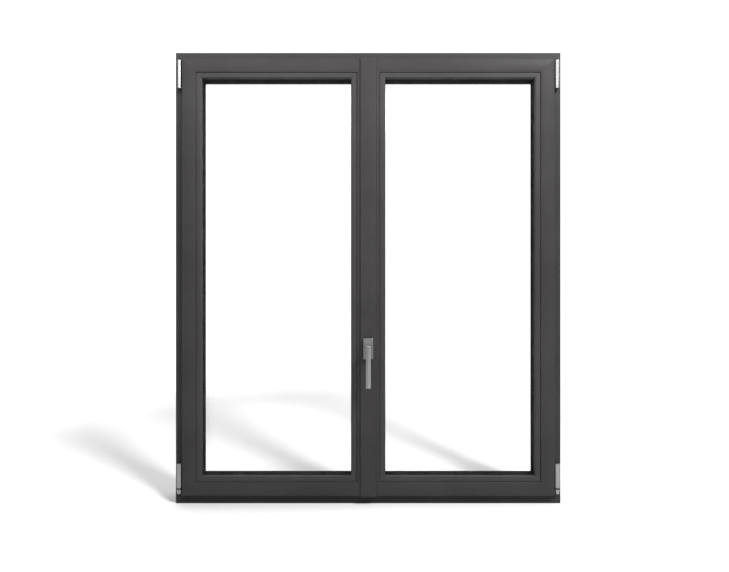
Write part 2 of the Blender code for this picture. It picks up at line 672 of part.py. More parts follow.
def make_gearbox(pivot):
    low_x = ACTIVE_EDGE_X + GAP
    back = GROOVE_FRONT - GAP
    half = GEARBOX_HEIGHT / 2
    case = box_mesh((low_x, back - GEARBOX_DEPTH, HANDLE_Z - half),
                    (low_x + GEARBOX_WIDTH, back, HANDLE_Z + half))
    gearbox = new_object("gearbox", case, DIE_CAST, pivot)
    cut(gearbox, cylinder_mesh((0, 0, HANDLE_Z), (0, 1, 0), HUB_RADIUS + GAP,
                               back - GEARBOX_DEPTH - WALL, back - EASE))
    face_x = ACTIVE_EDGE_X - GAP
    plate = box_mesh((face_x - FACEPLATE_THICK, GROOVE_FRONT - PLATE_OVERLAP, BODY_BOTTOM + END_MARGIN),
                     (face_x, GROOVE_BACK + PLATE_OVERLAP, BODY_TOP - END_MARGIN))
    new_object("faceplate", plate, STEEL, pivot)


def make_handle(leaf, pivot):
    half_w, half_h = ROSETTE_WIDTH / 2, ROSETTE_HEIGHT / 2
    seat = STRIP_FRONT - GAP
    rosette = new_object("handle_rosette", box_mesh((-half_w, seat - ROSETTE_THICK, HANDLE_Z - half_h),
                         (half_w, seat, HANDLE_Z + half_h), HANDLE_ROUND), SATIN, leaf)
    cut(rosette, cylinder_mesh((0, 0, HANDLE_Z), (0, 1, 0), NECK_DIAMETER / 2 + RUNNING,
                               seat - ROSETTE_THICK - WALL, seat + WALL))
    front = STRIP_FRONT - LEVER_FRONT
    arm_back = front + LEVER_THICK
    arm = box_mesh((-LEVER_WIDTH / 2, front, HANDLE_Z - LEVER_BELOW),
                   (LEVER_WIDTH / 2, arm_back, HANDLE_Z + LEVER_ABOVE), HANDLE_ROUND)
    lever = new_object("handle_lever", arm, SATIN, pivot)
    middle = (0, 0, HANDLE_Z)
    join(lever, cylinder_mesh(middle, (0, 1, 0), NECK_DIAMETER / 2, arm_back - WALL, seat - GAP))
    hub_back = GROOVE_FRONT - 2 * GAP - EASE
    hub_front = GROOVE_FRONT - GEARBOX_DEPTH + GAP
    half = SPINDLE / 2
    join(lever, box_mesh((-half, seat - WALL, HANDLE_Z - half), (half, hub_back - GAP, HANDLE_Z + half)))
    join(lever, cylinder_mesh(middle, (0, 1, 0), HUB_RADIUS, hub_front, hub_back))


def make_rods(pivot):
    """The rod in the meeting stile and those it drives in the top and bottom rails."""
    front, back = GROOVE_CENTRE_Y - ROD_WIDTH / 2, GROOVE_CENTRE_Y + ROD_WIDTH / 2
    rod_x = ACTIVE_EDGE_X + 2 * GAP
    stile = box_mesh((rod_x, front, BODY_BOTTOM + END_ZONE),
                     (rod_x + ROD_THICK, back, BODY_TOP - END_ZONE - ROD_TRAVEL))
    new_object("stile_rod", stile, STEEL, pivot)
    near = ACTIVE_EDGE_X + BODY_EDGE + GROOVE_DEPTH + ROD_END
    far = ACTIVE_RECT[1] - BODY_EDGE - GROOVE_DEPTH - END_MARGIN - ROD_TRAVEL
    rails = (("top", BODY_TOP - GROOVE_DEPTH, REBATE_TOP, 1, 0),
             ("bottom", BODY_BOTTOM + GROOVE_DEPTH, REBATE_BOTTOM, -1, ROD_TRAVEL))
    for name, floor, surface, up, shift in rails:
        low, high = sorted((floor + up * GAP, floor + up * (GAP + ROD_THICK)))
        rod = new_object(f"{name}_rod", box_mesh((near + shift, front, low), (far, back, high)), STEEL, pivot)
        foot, tip = sorted(((low + high) / 2, surface - up * TIP_PLAY))
        cam = (TOP_CAM_X + shift, GROOVE_CENTRE_Y, 0)
        join(rod, cylinder_mesh(cam, (0, 0, 1), CAM_RADIUS, foot, tip))


def make_stay(leaf, pivot):
    stud_x = HINGE_X - STAY_ARM_REACH
    top = BODY_TOP + GAP + STAY_RAIL_THICK
    half_slot = STUD_RADIUS + 2 * EASE
    rail = box_mesh((stud_x - END_ZONE, GROOVE_FRONT - PLATE_OVERLAP, BODY_TOP + GAP),
                    (HINGE_X - STAY_RAIL_END, GROOVE_BACK + PLATE_OVERLAP, top))
    stay_rail = new_object("stay_rail", rail, STEEL, leaf)
    cut(stay_rail, box_mesh((stud_x - END_MARGIN, GROOVE_CENTRE_Y - half_slot, BODY_TOP - WALL),
                            (stud_x + STAY_SLOT, GROOVE_CENTRE_Y + half_slot, top + WALL)))
    arm = new_object("stay_arm", arm_mesh(1, STAY_ARM_REACH, ARM_Z), STEEL, pivot)
    join(arm, knuckle_mesh(1))
    stud_low = BODY_TOP - GROOVE_DEPTH + ROD_THICK + 2 * RUNNING
    stud = (stud_x, GROOVE_CENTRE_Y, 0)
    join(arm, cylinder_mesh(stud, (0, 0, 1), STUD_RADIUS, stud_low, ARM_Z + EASE))


def make_bolts(pivot):
    """Flush bolts at the top and the bottom of the passive leaf's meeting edge."""
    front, back = GROOVE_FRONT + 2 * GAP, GROOVE_BACK - 2 * GAP
    low_x, high_x = PASSIVE_EDGE_X - GROOVE_DEPTH + GAP, PASSIVE_EDGE_X - 2 * GAP
    ends = (("top", REBATE_TOP - TIP_PLAY, -1), ("bottom", REBATE_BOTTOM + TIP_PLAY, 1))
    for name, tip, away in ends:
        low, high = sorted((tip, tip + away * BOLT_LENGTH))
        bolt = box_mesh((low_x, front, low), (high_x, back, high))
        new_object(f"flush_bolt_{name}", bolt, STEEL, pivot)


def make_window():
    make_frame()
    make_keeps()
    for side, name in ((-1, "left"), (1, "right")):
        make_frame_hinge(side, name)
    active = pivot_at("active_leaf_pivot", (HINGE_X, HINGE_Y, PIVOT_Z))
    passive = pivot_at("passive_leaf_pivot", (-HINGE_X, HINGE_Y, PIVOT_Z))
    handle = pivot_at("handle_pivot", (0, STRIP_FRONT, HANDLE_Z))
    stay = pivot_at("stay_arm_pivot", (HINGE_X, HINGE_Y, ARM_Z))
    new_object("active_corner_pin", corner_pin_mesh(1), STEEL, active)
    new_object("passive_corner_pin", corner_pin_mesh(-1), STEEL)
    make_active_leaf(active)
    make_passive_leaf(passive)
    make_sleeve(1, "active_hinge_sleeve", active)
    make_sleeve(-1, "passive_hinge_sleeve", passive)
    make_passive_band(passive)
    make_gearbox(active)
    make_handle(active, handle)
    make_rods(active)
    make_stay(active, stay)
    make_bolts(passive)


make_window()
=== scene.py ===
# %% [markdown]
# # A two-leaf tilt-and-turn window
# The window is extruded plastic wrapped in dark grey foil, with satin silver hinge covers and
# handle. The CAD frame already fixes every size and joint, so this script only makes the
# surfaces that people see: rounded edges, rubber lips, screws, glass and metal finishes.

# %% Load the frame and keep its box
import json
import math

import bmesh
import bpy
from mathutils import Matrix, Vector


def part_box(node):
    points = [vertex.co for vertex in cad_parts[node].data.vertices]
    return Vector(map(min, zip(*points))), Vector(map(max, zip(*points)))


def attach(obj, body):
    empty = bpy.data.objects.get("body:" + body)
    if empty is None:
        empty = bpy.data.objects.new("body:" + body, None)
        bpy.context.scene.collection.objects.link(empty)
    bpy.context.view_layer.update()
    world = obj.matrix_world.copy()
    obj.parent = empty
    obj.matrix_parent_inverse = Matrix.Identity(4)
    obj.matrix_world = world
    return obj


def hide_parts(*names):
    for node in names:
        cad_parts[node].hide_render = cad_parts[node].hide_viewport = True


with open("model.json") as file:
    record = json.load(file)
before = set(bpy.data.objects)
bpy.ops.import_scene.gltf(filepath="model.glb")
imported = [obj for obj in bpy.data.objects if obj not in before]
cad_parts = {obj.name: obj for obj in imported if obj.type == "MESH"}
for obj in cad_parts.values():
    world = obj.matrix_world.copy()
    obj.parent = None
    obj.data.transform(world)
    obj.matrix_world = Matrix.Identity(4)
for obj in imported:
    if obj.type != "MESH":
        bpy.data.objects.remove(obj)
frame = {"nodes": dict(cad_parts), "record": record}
NODES = frame["nodes"]
BEHAVIOUR = frame["record"]["behaviour"]
MEMBERS = BEHAVIOUR["bodies"]
BODY = {node: body for body, nodes in MEMBERS.items() for node in nodes}
SLOT = {part["node"]: part["material_slot"] for part in frame["record"]["subparts"]}
LEAVES = ("active", "passive")
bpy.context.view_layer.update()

# %% [markdown]
# ## Camera
# The camera stands level in the room, square to the window and a little left of its middle, at
# about half its height. It is close, so the inner walls of the glazing beads show all round.

# %% Camera
CAMERA_BACK = 1.400       # from the frame's room face
CAMERA_LEFT = 0.0115      # of the window's middle
CAMERA_HEIGHT = 0.6778
LENS = 22.17              # focal length in mm
room_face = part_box("frame_head")[0].y

camera_data = bpy.data.cameras.new("camera")
camera_data.lens = LENS
camera_data.sensor_width = 36
camera = bpy.data.objects.new("camera", camera_data)
camera.location = (-CAMERA_LEFT, room_face - CAMERA_BACK, CAMERA_HEIGHT)
camera.rotation_euler = (math.pi / 2, 0, 0)
bpy.context.scene.collection.objects.link(camera)
bpy.context.scene.camera = camera
print("camera stands at", tuple(round(v, 3) for v in camera.location))

# %% [markdown]
# ## Sums on sockets
# A material is a graph, and a graph is slow to read. This class wraps one socket, so that
# `grain * 0.3 + 0.4` adds its own Math nodes, and one method makes every other kind of node.


# %% Wire: a socket that Python can do sums with
class Wire:
    def __init__(self, tree, socket=None):
        self.tree = tree
        self.socket = socket

    def node(self, kind, settings=None, inputs=None, out=0):
        """Makes a node, applies its settings, fills its inputs and returns one output."""
        made = self.tree.nodes.new(kind)
        for key, value in (settings or {}).items():
            if key == "stops":
                set_stops(made.color_ramp, value)
            else:
                setattr(made, key, value)
        for key, value in (inputs or {}).items():
            if isinstance(value, Wire):
                self.tree.links.new(value.socket, made.inputs[key])
            else:
                made.inputs[key].default_value = value
        return Wire(self.tree, made.outputs[out])

    def math(self, operation, a, b):
        return self.node("ShaderNodeMath", {"operation": operation}, {0: a, 1: b})

    def __add__(self, other):
        return self.math("ADD", self, other)

    def __sub__(self, other):
        return self.math("SUBTRACT", self, other)

    def __rsub__(self, other):
        return self.math("SUBTRACT", other, self)

    def __mul__(self, other):
        return self.math("MULTIPLY", self, other)

    __radd__ = __add__
    __rmul__ = __mul__


def set_stops(ramp, stops):
    """Gives a colour ramp its (position, grey) stops."""
    while len(ramp.elements) < len(stops):
        ramp.elements.new(0.5)
    for element, (position, grey) in zip(ramp.elements, stops):
        element.position = position
        element.color = (grey, grey, grey, 1)


def new_material(name, **constants):
    """Material with one Principled shader: returns it, a Wire to build from and the shader."""
    material = bpy.data.materials.new(name)
    material.use_nodes = True
    shader = material.node_tree.nodes["Principled BSDF"]
    for key, value in constants.items():
        shader.inputs[key.replace("_", " ")].default_value = value
    return material, Wire(material.node_tree), shader


def feed(shader, name, wire):
    wire.tree.links.new(wire.socket, shader.inputs[name])


def place(wire, stretch):
    """The object's own coordinates, stretched for a pattern that runs one way."""
    where = wire.node("ShaderNodeTexCoord", out=3)
    return wire.node("ShaderNodeMapping", {"vector_type": "POINT"}, {"Vector": where, "Scale": stretch})


def noise(wire, scale, stretch=(1, 1, 1), detail=3.0, rough=0.5):
    where = place(wire, stretch)
    sizes = {"Vector": where, "Scale": scale, "Detail": detail, "Roughness": rough}
    return wire.node("ShaderNodeTexNoise", {"noise_dimensions": "3D"}, sizes)


def mixed(wire, mask, low, high):
    """Colour between low and high, by a mask."""
    settings = {"data_type": "RGBA"}
    return wire.node("ShaderNodeMix", settings, {0: mask, 6: (*low, 1), 7: (*high, 1)}, out=2)


def bumped(wire, shader, height, distance, strength):
    sizes = {"Height": height, "Distance": distance, "Strength": strength}
    feed(shader, "Normal", wire.node("ShaderNodeBump", None, sizes))


# %% [markdown]
# ## Foil
# The plastic is wrapped in a printed foil with a very fine pressed texture. It has three scales:
# a faint cloudiness over decimetres, short grain streaks that run along each member, and a
# pressed pearl texture under a millimetre across, which is what makes the sheen satin.


# %% Foil, with its grain along a chosen direction
FOIL_DARK = (0.0300, 0.0284, 0.0292)
FOIL_LIGHT = (0.0380, 0.0362, 0.0370)


def make_foil(name, along, gloss):
    material, wire, shader = new_material(name, Specular_IOR_Level=gloss)
    stretch = tuple(0.035 if axis == along else 1.0 for axis in "XYZ")
    cloud = noise(wire, 7.0, detail=2.0)
    streaks = noise(wire, 420.0, stretch, detail=4.0, rough=0.6)
    pearl = noise(wire, 1500.0, detail=1.0)
    tone = cloud * 0.55 + streaks * 0.45
    contrast = wire.node("ShaderNodeValToRGB", {"stops": [(0.34, 0.0), (0.66, 1.0)]}, {0: tone})
    feed(shader, "Base Color", mixed(wire, contrast, FOIL_DARK, FOIL_LIGHT))
    feed(shader, "Roughness", streaks * 0.08 + cloud * 0.08 + 0.36)
    bumped(wire, shader, pearl * 0.7 + streaks * 0.3, 0.00005, 0.35)
    return material


MEMBER_GLOSS = 0.045
BEAD_GLOSS = 0.10         # beads come from a finer die, so their foil lies tighter
foil_upright = make_foil("foil_grain_upright", "Z", MEMBER_GLOSS)
foil_level = make_foil("foil_grain_level", "X", MEMBER_GLOSS)
bead_upright = make_foil("bead_foil_upright", "Z", BEAD_GLOSS)
bead_level = make_foil("bead_foil_level", "X", BEAD_GLOSS)
print("foil colour from", FOIL_DARK, "to", FOIL_LIGHT)

# %% [markdown]
# ## Metals
# The covers and the handle are die-cast and satin plated: an even silver with very fine brush
# lines, and a blasted insert fills the rosette. The hidden hardware is zinc plated, which is
# duller and slightly blotchy, and the keeps are raw castings with a sandy surface.


# %% Silver, zinc plate and casting
def make_metal(name, low, high, rough, stretch, streak_scale, blotch_scale, depth):
    material, wire, shader = new_material(name, Metallic=1.0)
    streaks = noise(wire, streak_scale, stretch, detail=2.0)
    blotch = noise(wire, blotch_scale, detail=4.0, rough=0.6)
    feed(shader, "Base Color", mixed(wire, blotch, low, high))
    feed(shader, "Roughness", streaks * 0.12 + blotch * 0.08 + rough)
    bumped(wire, shader, streaks, depth, 0.5)
    return material


silver = make_metal("satin_silver", (0.235, 0.235, 0.243), (0.285, 0.285, 0.285), 0.26,
                    (1, 1, 0.02), 1800.0, 40.0, 0.00002)
zinc = make_metal("zinc_plate", (0.42, 0.43, 0.44), (0.60, 0.60, 0.57), 0.30,
                  (1, 1, 0.05), 900.0, 110.0, 0.00003)
insert = make_metal("silver_insert", (0.24, 0.24, 0.245), (0.33, 0.33, 0.33), 0.34,
                    (1, 1, 1), 2600.0, 60.0, 0.00010)
casting = make_metal("raw_casting", (0.34, 0.34, 0.35), (0.46, 0.46, 0.46), 0.42,
                     (1, 1, 1), 1400.0, 200.0, 0.00008)
print("metals:", silver.name, insert.name, zinc.name, casting.name)

# %% [markdown]
# ## Rubber, spacer and glass
# Gaskets are matt black with a bloom of fine dust. The spacer bar between the panes is dark
# plastic, ribbed by its rolling. Clear float glass is thin here, so it needs no refraction: it
# is a mirror whose opacity rises at grazing angles, which also lets light through to the floor.


# %% Rubber
def make_rubber(name, dark, dusty):
    material, wire, shader = new_material(name, Specular_IOR_Level=0.06)
    bloom = noise(wire, 260.0, detail=4.0, rough=0.65)
    cloud = noise(wire, 18.0)
    stops = {"stops": [(0.45, 0.0), (0.8, 1.0)]}
    mask = wire.node("ShaderNodeValToRGB", stops, {0: bloom * 0.6 + cloud * 0.4})
    feed(shader, "Base Color", mixed(wire, mask, dark, dusty))
    feed(shader, "Roughness", bloom * 0.18 + 0.74)
    bumped(wire, shader, bloom, 0.00006, 0.5)
    return material


rubber = make_rubber("gasket_rubber", (0.006, 0.006, 0.006), (0.016, 0.016, 0.015))


# %% Spacer bar
def make_spacer():
    material, wire, shader = new_material("spacer_bar", Roughness=0.5)
    speckle = noise(wire, 700.0, detail=3.0)
    feed(shader, "Base Color", mixed(wire, speckle, (0.030, 0.030, 0.031), (0.062, 0.061, 0.060)))
    bumped(wire, shader, speckle, 0.00008, 0.6)
    return material


spacer = make_spacer()


# %% Glass
FACE_ON = 0.018           # opacity of one surface seen face on
GRAZING = 0.75            # what a grazing view adds to it
STEEPNESS = 5.0           # how late it rises


def make_glass():
    material, wire, shader = new_material("clear_glass", Roughness=0.03, Metallic=1.0)
    film = noise(wire, 5.0, detail=3.0)
    feed(shader, "Base Color", mixed(wire, film, (0.90, 0.93, 0.92), (0.94, 0.96, 0.95)))
    facing = wire.node("ShaderNodeLayerWeight", None, {"Blend": 0.5}, out=1)
    feed(shader, "Alpha", wire.math("POWER", facing, STEEPNESS) * GRAZING + film * 0.004 + FACE_ON)
    return material


glass = make_glass()
LOOKS = {"satin_silver": silver, "zinc_steel": zinc, "die_cast": casting, "black_rubber": rubber,
         "spacer": spacer, "clear_glass": glass, "dark_foil_pvc": foil_upright}
print("slots covered:", sorted(LOOKS))

# %% [markdown]
# ## Tools for pieces
# A CAD node is loose triangles with sharp edges. For a finished piece its mesh is copied, its
# doubles are merged and its flat areas are dissolved back to large faces. Then the chosen edges
# get a bevel weight and a Bevel modifier with hardened normals, so that the flats stay flat.

# %% Put a finished mesh in the scene, on its body
made = []


def piece(name, mesh, look, body, stands_for=()):
    obj = bpy.data.objects.new(name, mesh)
    bpy.context.scene.collection.objects.link(obj)
    if look:
        mesh.materials.clear()
        mesh.materials.append(look)
    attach(obj, body)
    if stands_for:
        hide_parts(*stands_for)
    made.append(name)
    return obj


MERGE_WITHIN = 0.00001
FLAT_WITHIN = math.radians(0.5)


def merged_copy(node):
    """Copy of a CAD node's mesh with shared corners and whole flat faces."""
    work = bmesh.new()
    work.from_mesh(NODES[node].data)
    bmesh.ops.remove_doubles(work, verts=work.verts, dist=MERGE_WITHIN)
    bmesh.ops.dissolve_limit(work, angle_limit=FLAT_WITHIN, verts=work.verts, edges=work.edges)
    return work


def long_axis(node):
    """0 or 2: the world axis that a member runs along."""
    low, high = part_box(node)
    return 0 if high.x - low.x > high.z - low.z else 2


SHARP = math.radians(20)   # an edge this sharp is rounded
CREASE = math.radians(32)  # an edge this sharp is shaded as a crease


def weigh_edges(work, axis=None):
    """Marks the convex sharp edges, or only those that run along an axis."""
    layer = work.edges.layers.float.new("bevel_weight_edge")
    for edge in work.edges:
        if not edge.is_manifold or not edge.is_convex or edge.calc_face_angle() < SHARP:
            continue
        run = (edge.verts[1].co - edge.verts[0].co).normalized()
        if axis is None or abs(run[axis]) > 0.99:
            edge[layer] = 1.0


def soften(obj, width, segments=3):
    """Rounds the weighed edges and keeps the flats flat."""
    obj.data.shade_smooth()
    obj.data.set_sharp_from_angle(angle=CREASE)
    bevel = obj.modifiers.new("rounded_edges", "BEVEL")
    bevel.limit_method = "WEIGHT"
    bevel.width = width
    bevel.segments = segments
    bevel.harden_normals = True
    bevel.miter_outer = "MITER_SHARP"
    return obj


def finished_mesh(work, name):
    mesh = bpy.data.meshes.new(name)
    work.to_mesh(mesh)
    work.free()
    return mesh


# %% [markdown]
# ## Frame, leaves and beads
# Each member is welded to the next at a mitre. The weld closes the joint to a hairline, so the
# copy's ends are let out by most of the CAD gap, and only the edges that run along the member
# are rounded. Grain runs along each member: upright on stiles, level on rails.

# %% Members
WELD_CLOSES = 0.00013     # each mitred end is let out by this much
MEMBER_ROUND = 0.0009
BEAD_ROUND = 0.0004
END_SHARE = 0.7           # past this share of half the length, a corner belongs to an end


def close_welds(work, axis):
    values = [vert.co[axis] for vert in work.verts]
    middle, reach = (max(values) + min(values)) / 2, (max(values) - min(values)) / 2
    for vert in work.verts:
        away = vert.co[axis] - middle
        if abs(away) > END_SHARE * reach:
            vert.co[axis] += math.copysign(WELD_CLOSES, away)


def make_member(node, width, upright, level):
    axis = long_axis(node)
    work = merged_copy(node)
    close_welds(work, axis)
    weigh_edges(work, axis)
    look = level if axis == 0 else upright
    obj = piece(f"{node}_foiled", finished_mesh(work, node), look, BODY[node], [node])
    return soften(obj, width)


for node in sorted(NODES):
    if SLOT[node] != "dark_foil_pvc":
        continue
    if "_bead_" in node:
        make_member(node, BEAD_ROUND, bead_upright, bead_level)
    elif "strip" not in node:
        make_member(node, MEMBER_ROUND, foil_upright, foil_level)
print(len(made), "foiled members and beads")

# %% Strips and small hardware, rounded on every edge
SMALL_ROUND = {"centre_strip": 0.0003, "outer_meeting_strip": 0.0008, "base_strip": 0.0006,
               "faceplate": 0.0004, "stay_rail": 0.0003, "gearbox": 0.0005, "stay_arm": 0.0004,
               "passive_top_band": 0.0004, "striker_head": 0.0005, "striker_sill": 0.0005,
               "bolt_keep_head": 0.0005, "bolt_keep_sill": 0.0005, "flush_bolt_top": 0.0006,
               "flush_bolt_bottom": 0.0006, "stile_rod": 0.0003, "top_rod": 0.0003, "bottom_rod": 0.0003}


def make_rounded(node, width):
    work = merged_copy(node)
    weigh_edges(work)
    look = foil_level if node == "base_strip" else LOOKS[SLOT[node]]
    obj = piece(f"{node}_rounded", finished_mesh(work, node), look, BODY[node], [node])
    return soften(obj, width, segments=2)


for node, width in SMALL_ROUND.items():
    make_rounded(node, width)
print(len(SMALL_ROUND), "strips and fittings with rounded edges")

# %% [markdown]
# ## Gaskets
# A glazing gasket is one soft lip that runs round the glass. It grips the pane at its foot and
# covers the back of the bead with a thin black skin. Part of that skin is a real lip; the rest
# reaches over nearly the whole inner wall of the bead as a black sheet that stands in for the
# shade on that wall, so that part is painted shade. It keeps one section all the way round, so
# the section is drawn once as (inset, depth) and carried round four mitred corners.


# %% Carry a section round a rectangle
def ring_mesh(low, high, section, name):
    """Closed ring: section is a loop of (inset from the rectangle, depth along Y)."""
    work = bmesh.new()
    loops = []
    for inset, depth in section:
        corners = ((low.x + inset, low.z + inset), (high.x - inset, low.z + inset),
                   (high.x - inset, high.z - inset), (low.x + inset, high.z - inset))
        loops.append([work.verts.new((x, depth, z)) for x, z in corners])
    for here, after in zip(loops, loops[1:] + loops[:1]):
        for side in range(4):
            turn = (side + 1) % 4
            work.faces.new((here[side], here[turn], after[turn], after[side]))
    bmesh.ops.recalc_face_normals(work, faces=work.faces)
    return finished_mesh(work, name)


def lip(points, cuts):
    """Softens a section: each cut takes off every corner, a quarter of the way along its sides."""
    for _ in range(cuts):
        softer = []
        for (x0, y0), (x1, y1) in zip(points, points[1:] + points[:1]):
            softer.append((0.75 * x0 + 0.25 * x1, 0.75 * y0 + 0.25 * y1))
            softer.append((0.25 * x0 + 0.75 * x1, 0.25 * y0 + 0.75 * y1))
        points = softer
    return points


def smooth(mesh, degrees=40):
    mesh.shade_smooth()
    mesh.set_sharp_from_angle(angle=math.radians(degrees))
    return mesh


# %% Glazing gaskets, inside and outside
AIR = 0.0001              # least gap to a neighbour
SKIN = 0.0006             # thickness of the lip on the bead's wall
# The skin covers nearly all of the bead's inner wall; past a real lip's reach its black is painted shade on
# that wall.
SHADE_SKIN_DEPTH = 0.0235       # how far it reaches over the bead's wall
FOOT = 0.0011             # thickness of the lip where it meets the pane
OUTER_SEAT = 0.0028       # from the outer pane to the leaf's outer lip
BULB = 0.0012             # of the frame's gasket, at the edge that the leaf presses


def make_glazing_gaskets(leaf):
    low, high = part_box(f"{leaf}_glass_inner")
    pane = low.y
    bead_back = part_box(f"{leaf}_bead_left")[1].y
    top = bead_back - SHADE_SKIN_DEPTH
    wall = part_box(f"{leaf}_bead_left")[1].x - low.x + AIR
    front, back = pane - 2 * AIR, bead_back + 3 * AIR
    # From wall up to top the lip lies on the bead's wall as a black skin, much of it painted shade for the
    # shaded wall.
    inner = [(0.002, front), (0.002, back), (wall, back), (wall, top), (wall + SKIN, top + 0.0004),
             (wall + SKIN, bead_back - 0.003), (wall + FOOT, bead_back), (wall + FOOT, front)]
    mesh = smooth(ring_mesh(low, high, lip(inner, 1), f"{leaf}_gasket"))
    piece(f"{leaf}_inner_gasket_lip", mesh, rubber, BODY[f"{leaf}_rail_top"],
          [f"{leaf}_glazing_gasket"])
    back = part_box(f"{leaf}_glass_outer")[1].y
    seat = back + OUTER_SEAT
    outer = [(0.001, back + AIR), (0.001, seat), (0.0052, seat), (0.0064, seat + 0.0012),
             (0.0068, seat - 0.0004), (0.0060, back + AIR)]
    mesh = smooth(ring_mesh(low, high, lip(outer, 2), f"{leaf}_outer_gasket"))
    piece(f"{leaf}_outer_gasket_lip", mesh, rubber, BODY[f"{leaf}_rail_top"])


for leaf in LEAVES:
    make_glazing_gaskets(leaf)

low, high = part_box("frame_gasket")
frame_lip = [(0, low.y), (0, high.y), (0.006, high.y), (0.006, low.y + BULB), (0.0045, low.y)]
mesh = smooth(ring_mesh(low, high, lip(frame_lip, 2), "frame_gasket_lip"))
piece("frame_gasket_lip", mesh, rubber, "frame", ["frame_gasket"])
print("gaskets follow", len(LEAVES), "leaves and the frame")

# %% [markdown]
# ## Geometry Nodes for seals, screws and perforations
# What repeats or follows a path is made by a node tree with named sizes. Three trees are enough:
# a round seal along a rectangle, a straight row of one template, and small marks spaced along a
# rectangle. Each result is turned into a plain mesh and the modifier goes.

# %% Trees with named inputs
KINDS = {float: "Float", int: "Int", tuple: "Vector"}


def start_tree(name, **sizes):
    """Starts a tree: returns a Wire to build with, and a Wire for each named input."""
    tree = bpy.data.node_groups.new(name, "GeometryNodeTree")
    tree.interface.new_socket("Geometry", in_out="OUTPUT", socket_type="NodeSocketGeometry")
    for label, value in sizes.items():
        kind = KINDS.get(type(value), value)
        made_socket = tree.interface.new_socket(label, in_out="INPUT", socket_type=f"NodeSocket{kind}")
        if type(value) in KINDS:
            made_socket.default_value = value
    inlet = tree.nodes.new("NodeGroupInput")
    wires = {label: Wire(tree, inlet.outputs[label]) for label in sizes}
    return Wire(tree), wires


def end_tree(wire, geometry, look):
    """Every tree ends in Realize Instances and Set Material."""
    real = wire.node("GeometryNodeRealizeInstances", None, {"Geometry": geometry})
    painted = wire.node("GeometryNodeSetMaterial", None, {"Geometry": real, "Material": look})
    outlet = wire.tree.nodes.new("NodeGroupOutput")
    wire.tree.links.new(painted.socket, outlet.inputs[0])
    return wire.tree


def grown(name, tree, body, slot, **sizes):
    """Runs a tree with these sizes and keeps the result as a plain mesh on one body."""
    holder = bpy.data.objects.new(name, bpy.data.meshes.new(name))
    bpy.context.scene.collection.objects.link(holder)
    modifier = holder.modifiers.new(name, "NODES")
    modifier.node_group = tree
    for item in tree.interface.items_tree:
        if item.in_out == "INPUT" and item.name in sizes:
            modifier[item.identifier] = sizes[item.name]
    graph = bpy.context.evaluated_depsgraph_get()
    mesh = bpy.data.meshes.new_from_object(holder.evaluated_get(graph))
    bpy.data.objects.remove(holder, do_unlink=True)
    return piece(name, mesh, None, body)


# %% The seal tree: a soft tube along a rectangle
def upright_rectangle(wire, wires):
    """Rectangle that stands in the window's plane, its corners rounded."""
    flat = wire.node("GeometryNodeCurvePrimitiveQuadrilateral", {"mode": "RECTANGLE"},
                     {"Width": wires["Width"], "Height": wires["Height"]})
    soft = wire.node("GeometryNodeFilletCurve", {"mode": "POLY"},
                     {"Curve": flat, "Count": 5, "Radius": wires["Corner"]})
    return wire.node("GeometryNodeTransform", None,
                     {"Geometry": soft, "Translation": wires["Centre"], "Rotation": (math.pi / 2, 0, 0)})


def make_seal_tree():
    wire, wires = start_tree("seal_along_rectangle", Width=1.0, Height=1.0, Corner=0.006,
                             Centre=(0.0, 0.0, 0.0), Radius=0.002, Look="Material")
    path = upright_rectangle(wire, wires)
    tube = wire.node("GeometryNodeCurvePrimitiveCircle", {"mode": "RADIUS"},
                     {"Resolution": 12, "Radius": wires["Radius"]})
    swept = wire.node("GeometryNodeCurveToMesh", None, {"Curve": path, "Profile Curve": tube})
    soft = wire.node("GeometryNodeSetShadeSmooth", None, {"Geometry": swept})
    return end_tree(wire, soft, wires["Look"])


seal_tree = make_seal_tree()


def make_seal(name, low, high, depth, radius, body):
    """Seal whose outer edge follows the rectangle between two corners."""
    size = high - low
    grown(name, seal_tree, body, "black_rubber", Width=size.x - 2 * radius, Height=size.z - 2 * radius,
          Centre=((low.x + high.x) / 2, depth, (low.z + high.z) / 2), Radius=radius, Look=rubber)


# %% Overlap seals on the back of each leaf's flange
SEAL_RADIUS = 0.0021
SEAL_INSET = 0.0042       # from the leaf's edge
FLANGE_AIR = 0.005        # between the frame's room face and the back of a flange
TILT_HEIGHT = next(joint["pos_m"][2] for joint in BEHAVIOUR["joints"] if joint["name"] == "active_tilt")


def flange_rectangle(leaf):
    """The leaf's outline, from its rails and stiles."""
    boxes = [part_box(f"{leaf}_{side}") for side in ("rail_top", "rail_bottom", "stile_hinge")]
    low = Vector(min(box[0][i] for box in boxes) for i in range(3))
    high = Vector(max(box[1][i] for box in boxes) for i in range(3))
    return low, high


def overlap_seal(leaf):
    """Seal behind the flange. It stays above the tilt axis, where tilting can't press it into the frame."""
    low, high = flange_rectangle(leaf)
    inset = Vector((SEAL_INSET, 0, SEAL_INSET))
    foot = low + inset
    if leaf == "active":
        foot.z = TILT_HEIGHT
    make_seal(f"{leaf}_overlap_seal", foot, high - inset, flange_back + SEAL_RADIUS,
              SEAL_RADIUS, BODY[f"{leaf}_rail_top"])


flange_back = room_face - FLANGE_AIR
for leaf in LEAVES:
    overlap_seal(leaf)
print("overlap seals stand", round(2 * SEAL_RADIUS * 1000, 1), "mm proud of the flanges")

# %% [markdown]
# ## Screws
# A fitting is held by countersunk screws with a six-lobed recess. One head is a stack of rings:
# the rim and the dish are round, and the recess's radius follows a cosine with six waves.


